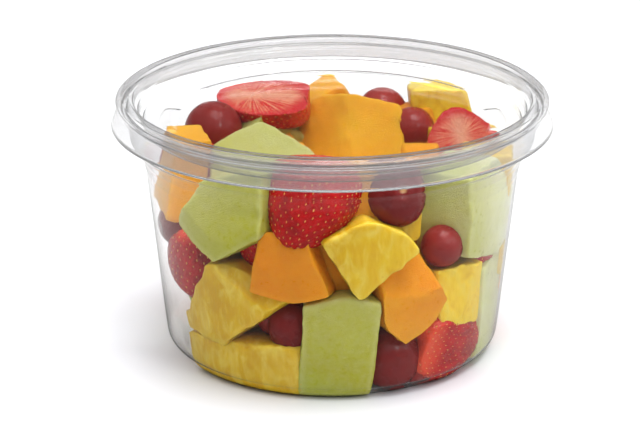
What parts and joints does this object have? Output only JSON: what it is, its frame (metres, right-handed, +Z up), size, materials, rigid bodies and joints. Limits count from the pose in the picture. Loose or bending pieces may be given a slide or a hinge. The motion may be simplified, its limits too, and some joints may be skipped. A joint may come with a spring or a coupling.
{
  "type": "fruit salad in a lidded clear tub",
  "caption": "Fresh fruit salad of melon and pineapple chunks, grapes and strawberries in a clear round tub, shut by a clear press-on lid with a stacking recess.",
  "frame": {"origin": "centre of the tub's foot ring, on the surface it stands on", "axes": "+Z up along the tub's axis; -Y towards the side shown in the picture; +X to the right in it"},
  "size_m": [0.155, 0.155, 0.0924],
  "materials": {
    "tub_plastic": "clear thin-formed plastic, glossy",
    "lid_plastic": "clear thin-formed plastic, glossy",
    "fruit": "moist cut fruit"
  },
  "bodies": {
    "root": {"tub": "tub_plastic", "lid": "lid_plastic", "fruit_heap": "fruit"}
  },
  "joints": []
}
